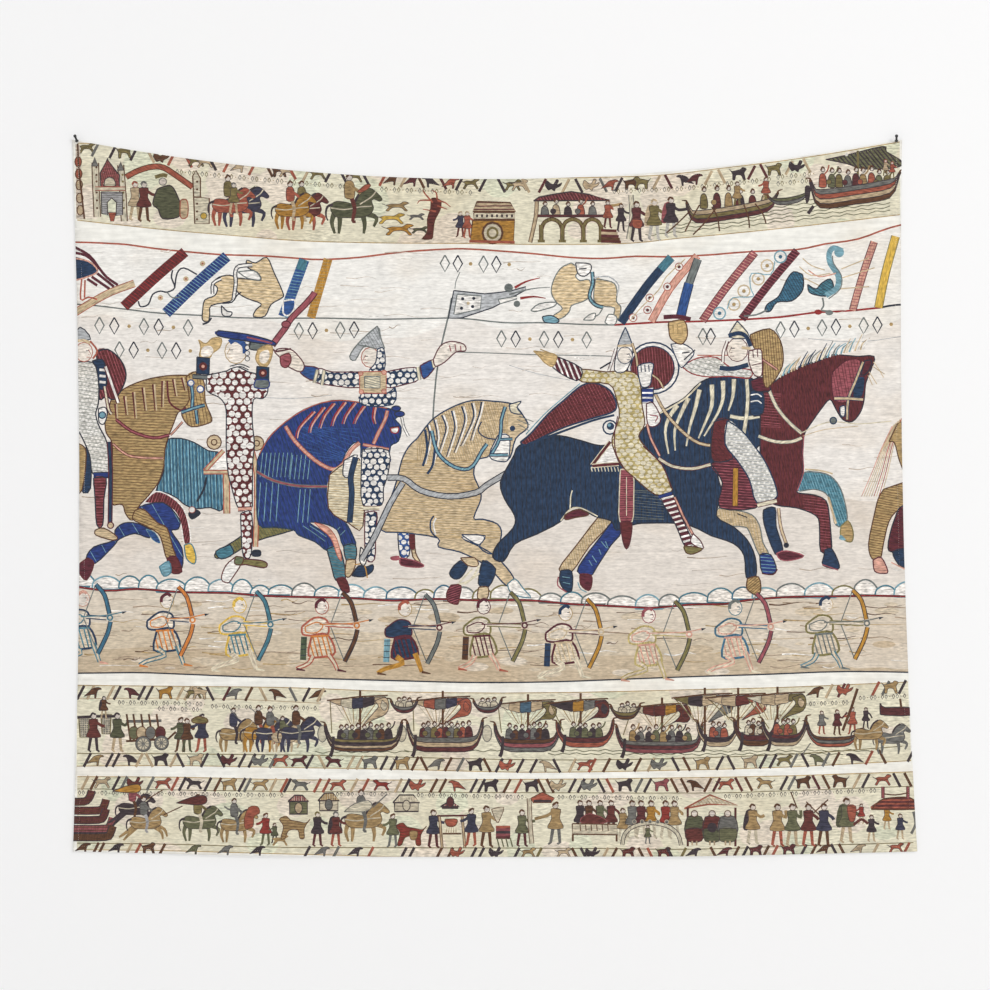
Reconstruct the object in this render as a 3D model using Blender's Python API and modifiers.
"""Printed fabric wall hanging, held to a wall by a push pin through each top corner.

One thin hemmed cloth: its top edge sags between the pins, its sides draw in a little and its
bottom corners flare. X runs along the width, Z is up, and the front faces -Y. The origin lies
midway between the two pin holes, in the middle of the cloth's thickness.
"""
import math

import bmesh
import bpy
from mathutils import Matrix, Vector

# ---------------------------------------------------------------- driving sizes, in metres
TOP_WIDTH = 1.500            # corner to corner along the top, as hung
BOTTOM_LEFT = 0.748          # reach of the bottom left corner from the middle
BOTTOM_RIGHT = 0.777         # reach of the bottom right corner from the middle
DROP = 1.286                 # height of the hung sides, top corner to bottom corner
TOP_SAG = 0.0715             # dip of the top edge at mid-width
SIDE_PULL = 0.0125           # how far each side draws in at mid-height
BOTTOM_DIP = 0.010           # how far the bottom edge bellies down at mid-width
CLOTH_THICKNESS = 0.0005
HEM_WIDTH = 0.012            # folded strip behind every edge
HEM_THICKNESS = 0.0010       # the strip's two turned layers
FOLD_BELOW_SAG = 0.088       # the cloth bends this far below the lowest point of its top edge
SEAM_INSET = 0.0095          # stitch line, measured in from the cloth's edge
THREAD_DIAMETER = 0.0004
PIN_INSET = 0.010            # needle hole, in from the side edge
PIN_BELOW_EDGE = 0.006       # needle hole, down from the top corner
PIN_TILT = math.radians(40)  # the head leans up out of the horizontal
PIN_LEAN = math.radians(-8)  # and a little to the left
NEEDLE_DIAMETER = 0.0012
NEEDLE_LENGTH = 0.0235       # blunt end to tip
NEEDLE_POINT = 0.0030        # tapered tip
NEEDLE_IN_GRIP = 0.0080      # how much of it the grip holds
GRIP_LENGTH = 0.0140
GRIP_FLANGE_DIAMETER = 0.0062
GRIP_WAIST_DIAMETER = 0.0038
GRIP_CAP_DIAMETER = 0.0056
FLANGE_THICKNESS = 0.0018
CAP_THICKNESS = 0.0030
FIT_GAP = 0.0003             # clearance between touching pieces
PIN_STAND_OFF = 0.0008       # flange edge to cloth

EDGE_STEPS = 24              # facets along a sagging edge
SIDE_STEPS = 8               # facets along a side of each cloth panel
ROUND_STEPS = 24

# ---------------------------------------------------------------- sizes that follow
HALF_TOP = TOP_WIDTH / 2
TOP_Z = PIN_BELOW_EDGE                      # the holes are at z = 0
FOLD_Z = TOP_Z - TOP_SAG - FOLD_BELOW_SAG
PIN_X = HALF_TOP - PIN_INSET
CLOTH_FRONT = -CLOTH_THICKNESS / 2
CLOTH_BACK = CLOTH_THICKNESS / 2
HEM_FRONT = CLOTH_BACK + FIT_GAP
HEM_BACK = HEM_FRONT + HEM_THICKNESS
THREAD_RADIUS = THREAD_DIAMETER / 2
NEEDLE_RADIUS = NEEDLE_DIAMETER / 2
FLANGE_RADIUS = GRIP_FLANGE_DIAMETER / 2


def side_x(side, z):
    """X of the left (-1) or right (+1) edge at height z: a chord drawn in by a parabola."""
    down = (TOP_Z - z) / DROP
    bottom = BOTTOM_RIGHT if side > 0 else BOTTOM_LEFT
    chord = HALF_TOP + (bottom - HALF_TOP) * down
    return side * (chord - 4 * SIDE_PULL * down * (1 - down))


def top_z(x):
    """Height of the sagging top edge at x."""
    return TOP_Z - TOP_SAG * (1 - (x / HALF_TOP) ** 2)


def bottom_z(x):
    """Height of the bottom edge at x, which bellies down between its corners."""
    middle = (BOTTOM_RIGHT - BOTTOM_LEFT) / 2
    reach = (BOTTOM_RIGHT + BOTTOM_LEFT) / 2
    return TOP_Z - DROP - BOTTOM_DIP * (1 - ((x - middle) / reach) ** 2)


def spaced(start, end, steps):
    return [start + (end - start) * i / steps for i in range(steps + 1)]


# ---------------------------------------------------------------- scene helpers
def clear_scene():
    for obj in list(bpy.data.objects):
        bpy.data.objects.remove(obj, do_unlink=True)


def make_collection(name):
    collection = bpy.data.collections.new(name)
    bpy.context.scene.collection.children.link(collection)
    return collection


def make_material(name, color, roughness, metallic=0.0):
    material = bpy.data.materials.new(name)
    material.use_nodes = True
    shader = material.node_tree.nodes["Principled BSDF"]
    shader.inputs["Base Color"].default_value = (*color, 1.0)
    shader.inputs["Roughness"].default_value = roughness
    shader.inputs["Metallic"].default_value = metallic
    return material


def add_object(name, data, collection, material=None):
    obj = bpy.data.objects.new(name, data)
    collection.objects.link(obj)
    if material:
        data.materials.append(material)
    return obj


def curve_to_mesh(curve_object):
    """Replace a curve object by a welded mesh object of the same name and place."""
    graph = bpy.context.evaluated_depsgraph_get()
    mesh = bpy.data.meshes.new_from_object(curve_object.evaluated_get(graph))
    body = bmesh.new()
    body.from_mesh(mesh)
    bmesh.ops.remove_doubles(body, verts=body.verts, dist=1e-6)
    bmesh.ops.recalc_face_normals(body, faces=body.faces)
    body.to_mesh(mesh)
    body.free()
    name = curve_object.name
    collection = curve_object.users_collection[0]
    place = curve_object.matrix_world.copy()
    bpy.data.objects.remove(curve_object, do_unlink=True)
    mesh_object = bpy.data.objects.new(name, mesh)
    collection.objects.link(mesh_object)
    mesh_object.matrix_world = place
    return mesh_object


def panel(name, outline, front, back, collection, material):
    """A flat sheet with the given (x, z) outline, between two depths."""
    data = bpy.data.curves.new(name, "CURVE")
    data.dimensions = "2D"
    data.fill_mode = "BOTH"
    data.extrude = (back - front) / 2
    spline = data.splines.new("POLY")
    spline.points.add(len(outline) - 1)
    for point, (x, z) in zip(spline.points, outline):
        point.co = (x, z, 0, 1)
    spline.use_cyclic_u = True
    obj = add_object(name, data, collection)
    obj.rotation_euler = (math.pi / 2, 0, 0)
    obj.location = (0, (front + back) / 2, 0)
    bpy.context.view_layer.update()
    sheet = curve_to_mesh(obj)
    sheet.data.materials.append(material)
    return sheet


def thread(name, route, y, collection, material):
    """A line of stitching laid along an (x, z) route at one depth."""
    data = bpy.data.curves.new(name, "CURVE")
    data.dimensions = "3D"
    data.bevel_depth = THREAD_RADIUS
    data.bevel_resolution = 2
    data.use_fill_caps = True
    spline = data.splines.new("POLY")
    spline.points.add(len(route) - 1)
    for point, (x, z) in zip(spline.points, route):
        point.co = (x, y, z, 1)
    return add_object(name, data, collection, material)


def side_name(side):
    return "right" if side > 0 else "left"


# ---------------------------------------------------------------- cloth and hems
def cloth_panels(parts, material):
    """The cloth above and below its fold line; returns the upper one, which the pins go through."""
    above = FOLD_Z + FIT_GAP / 2
    below = FOLD_Z - FIT_GAP / 2
    top = [(x, top_z(x)) for x in spaced(-HALF_TOP, HALF_TOP, EDGE_STEPS)]
    upper_right = [(side_x(1, z), z) for z in spaced(TOP_Z, above, SIDE_STEPS)[1:]]
    upper_left = [(side_x(-1, z), z) for z in spaced(above, TOP_Z, SIDE_STEPS)[:-1]]
    upper = panel("cloth_upper", top + upper_right + upper_left,
                  CLOTH_FRONT, CLOTH_BACK, parts, material)
    foot = TOP_Z - DROP
    lower_right = [(side_x(1, z), z) for z in spaced(below, foot, SIDE_STEPS)]
    bottom = [(x, bottom_z(x)) for x in spaced(BOTTOM_RIGHT, -BOTTOM_LEFT, EDGE_STEPS)][1:-1]
    lower_left = [(side_x(-1, z), z) for z in spaced(foot, below, SIDE_STEPS)]
    panel("cloth_lower", lower_right + bottom + lower_left,
          CLOTH_FRONT, CLOTH_BACK, parts, material)
    return upper


def strip(outer, inner):
    """Closed outline of a band between an outer edge and an inner one."""
    return outer + inner[::-1]


def end_hems(parts, material):
    """Hems behind the top and bottom edges, right across the cloth; returns the top one."""
    top_outer = [(x, top_z(x)) for x in spaced(-HALF_TOP, HALF_TOP, EDGE_STEPS)]
    top_inner = [(x, z - HEM_WIDTH) for x, z in top_outer]
    foot = [(x, bottom_z(x)) for x in spaced(-BOTTOM_LEFT, BOTTOM_RIGHT, EDGE_STEPS)]
    foot_inner = [(x, z + HEM_WIDTH) for x, z in foot]
    top = panel("top_hem", strip(top_outer, top_inner), HEM_FRONT, HEM_BACK, parts, material)
    panel("bottom_hem", strip(foot, foot_inner), HEM_FRONT, HEM_BACK, parts, material)
    return top


def side_line(side, level, inset, end_gap):
    """A line down one side of a cloth panel, inset from its edge, as (x, z) points.

    It stops end_gap short of the top or bottom edge, and at the fold with half a gap.
    """
    if level == "upper":
        start = top_z(side * (HALF_TOP - inset)) - end_gap
        end = FOLD_Z + FIT_GAP / 2
    else:
        foot = TOP_Z - DROP
        start = FOLD_Z - FIT_GAP / 2
        end = bottom_z(side_x(side, foot) - side * inset) + end_gap
    return [(side_x(side, z) - side * inset, z) for z in spaced(start, end, SIDE_STEPS)]


def side_hems(parts, material):
    """Hems behind the sides, in one piece above the fold and one below."""
    end_gap = HEM_WIDTH + FIT_GAP
    for side in (-1, 1):
        for level in ("upper", "lower"):
            outer = side_line(side, level, 0.0, end_gap)
            inner = side_line(side, level, HEM_WIDTH, end_gap)
            panel(f"{side_name(side)}_hem_{level}", strip(outer, inner),
                  HEM_FRONT, HEM_BACK, parts, material)


# ---------------------------------------------------------------- stitching
def seam_routes():
    """The line of stitches round the cloth, cut at the fold, as (x, z) routes by name."""
    end_gap = SEAM_INSET + THREAD_DIAMETER + FIT_GAP
    top_x = spaced(SEAM_INSET - HALF_TOP, HALF_TOP - SEAM_INSET, EDGE_STEPS)
    bottom_x = spaced(SEAM_INSET - BOTTOM_LEFT, BOTTOM_RIGHT - SEAM_INSET, EDGE_STEPS)
    routes = {"top": [(x, top_z(x) - SEAM_INSET) for x in top_x],
              "bottom": [(x, bottom_z(x) + SEAM_INSET) for x in bottom_x]}
    for side in (-1, 1):
        for level in ("upper", "lower"):
            routes[f"{side_name(side)}_{level}"] = side_line(side, level, SEAM_INSET, end_gap)
    return routes


def seams(parts, material):
    """Each seam is a front thread on the cloth and a back thread on the hem."""
    front = CLOTH_FRONT - FIT_GAP - THREAD_RADIUS
    back = HEM_BACK + FIT_GAP + THREAD_RADIUS
    for name, route in seam_routes().items():
        thread(f"{name}_seam_front_thread", route, front, parts, material)
        thread(f"{name}_seam_back_thread", route, back, parts, material)


# ---------------------------------------------------------------- push pins
def pin_matrix(side):
    """Pin frame: origin at the hole, local +Z out along the needle towards the head."""
    out = Vector((math.sin(PIN_LEAN), -math.cos(PIN_TILT), math.sin(PIN_TILT))).normalized()
    turn = out.to_track_quat("Z", "Y").to_matrix().to_4x4()
    return Matrix.Translation((side * PIN_X, 0, 0)) @ turn


def pin_seat():
    """Distance from the hole to the flange, so that the tilted flange clears the cloth."""
    lean = math.acos(math.cos(PIN_TILT) / math.hypot(1.0, math.sin(PIN_LEAN)))
    return (FLANGE_RADIUS * math.sin(lean) + PIN_STAND_OFF - CLOTH_FRONT) / math.cos(lean)


def turned(name, profile, collection):
    """A solid of revolution from an (r, z) profile that runs top to bottom."""
    mesh = bpy.data.meshes.new(name)
    mesh.from_pydata([(r, 0, z) for r, z in profile], [(i, i + 1) for i in range(len(profile) - 1)], [])
    obj = add_object(name, mesh, collection)
    screw = obj.modifiers.new("turn", "SCREW")
    screw.steps = screw.render_steps = ROUND_STEPS
    screw.use_merge_vertices = True
    screw.merge_threshold = 0.00001
    screw.use_smooth_shade = True
    return obj


def grip_profile():
    """Outside from cap to flange, then up the blind bore for the needle."""
    seat = pin_seat()
    top = seat + GRIP_LENGTH
    cap, waist = GRIP_CAP_DIAMETER / 2, GRIP_WAIST_DIAMETER / 2
    ease = FLANGE_THICKNESS / 4
    bore = NEEDLE_RADIUS + FIT_GAP
    bore_end = seat + NEEDLE_IN_GRIP + FIT_GAP
    return [(0, top), (cap - ease, top), (cap, top - ease), (cap, top - CAP_THICKNESS),
            (waist, top - CAP_THICKNESS - 2 * ease), (waist, seat + FLANGE_THICKNESS + 2 * ease),
            (FLANGE_RADIUS, seat + FLANGE_THICKNESS), (FLANGE_RADIUS, seat + ease),
            (FLANGE_RADIUS - ease, seat), (bore, seat), (bore, bore_end), (0, bore_end)]


def needle_profile():
    """A straight shank with a drawn point at the wall end."""
    top = pin_seat() + NEEDLE_IN_GRIP
    tip = top - NEEDLE_LENGTH
    return [(0, top), (NEEDLE_RADIUS, top), (NEEDLE_RADIUS, tip + NEEDLE_POINT), (0, tip)]


def needle_cutter(side, cutters):
    """Straight punch for the needle's hole through the cloth and the top hem."""
    reach = NEEDLE_LENGTH
    radius = NEEDLE_RADIUS + FIT_GAP
    cutter = turned(f"needle_hole_{side_name(side)}",
                    [(0, reach), (radius, reach), (radius, -reach), (0, -reach)], cutters)
    cutter.matrix_world = pin_matrix(side)
    cutter.hide_render = True
    cutter.display_type = "WIRE"
    return cutter


def punch(target, cutter):
    cut = target.modifiers.new(cutter.name, "BOOLEAN")
    cut.operation = "DIFFERENCE"
    cut.solver = "EXACT"
    cut.object = cutter


def push_pins(parts, grip_material, needle_material):
    for side in (-1, 1):
        grip = turned(f"{side_name(side)}_pin_grip", grip_profile(), parts)
        needle = turned(f"{side_name(side)}_pin_needle", needle_profile(), parts)
        for obj, material in ((grip, grip_material), (needle, needle_material)):
            obj.matrix_world = pin_matrix(side)
            obj.data.materials.append(material)


def main():
    clear_scene()
    parts = make_collection("wall_hanging")
    cutters = make_collection("cutters")
    cloth_material = make_material("printed_polyester", (0.83, 0.79, 0.70), 0.85)
    hem_material = make_material("hem_polyester", (0.90, 0.89, 0.86), 0.88)
    thread_material = make_material("white_thread", (0.92, 0.91, 0.87), 0.7)
    grip_material = make_material("black_grip", (0.02, 0.02, 0.022), 0.3)
    needle_material = make_material("steel_needle", (0.75, 0.75, 0.77), 0.25, 1.0)
    cloth = cloth_panels(parts, cloth_material)
    hem = end_hems(parts, hem_material)
    side_hems(parts, hem_material)
    seams(parts, thread_material)
    push_pins(parts, grip_material, needle_material)
    for side in (-1, 1):
        cutter = needle_cutter(side, cutters)
        punch(cloth, cutter)
        punch(hem, cutter)


main()
